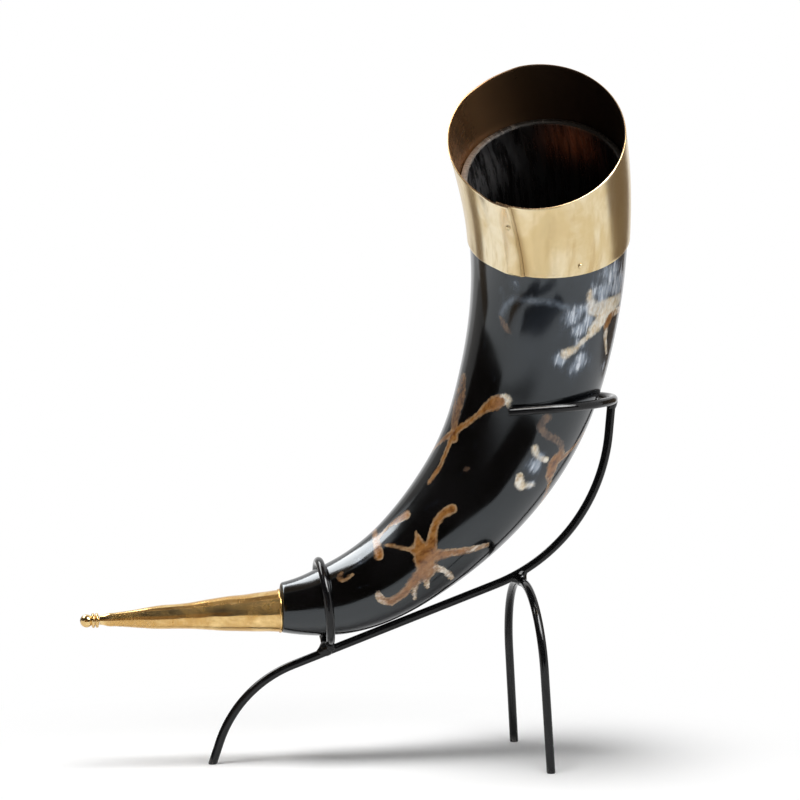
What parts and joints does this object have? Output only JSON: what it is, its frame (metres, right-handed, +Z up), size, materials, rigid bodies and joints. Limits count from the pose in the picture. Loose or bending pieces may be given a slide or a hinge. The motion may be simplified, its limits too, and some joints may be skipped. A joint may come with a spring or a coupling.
{
  "type": "drinking horn",
  "caption": "Curved hollow horn cup with a lapped brass mouth collar, a brass tip ferrule and a ball finial, held in a bent-rod stand by a cradle fork and a tail hoop.",
  "frame": {"origin": "centre of the bounding box, on the surface that the feet stand on", "axes": "+X from the ferrule's tip towards the side where the horn rises to its mouth, +Y away from the side that the mouth leans to, +Z up"},
  "size_m": [0.2504, 0.1222, 0.3212],
  "materials": {
    "dyed_horn": "polished horn, dyed black, with tan resist splashes",
    "brass": "polished sheet and turned brass",
    "black_paint": "gloss black paint on steel rod"
  },
  "bodies": {
    "stand": {"spine_rod": "black_paint", "rear_leg_arch": "black_paint", "cradle_fork": "black_paint", "tail_ring": "black_paint", "cradle_weld": "black_paint", "leg_weld": "black_paint", "ring_weld": "black_paint"},
    "horn": {"horn_shell": "dyed_horn", "mouth_collar": "brass", "collar_rivet": "brass", "collar_tack_1": "brass", "collar_tack_2": "brass", "collar_tack_3": "brass", "tip_ferrule": "brass", "ferrule_tack": "brass", "tip_finial": "brass"}
  },
  "joints": [
    {"name": "horn_lift_out", "type": "hinge", "parent": "stand", "child": "horn", "pos_m": [-0.06962, 0.01496, 0.2136], "axis": [0, -1, 0], "range_deg": [0, 46]}
  ]
}
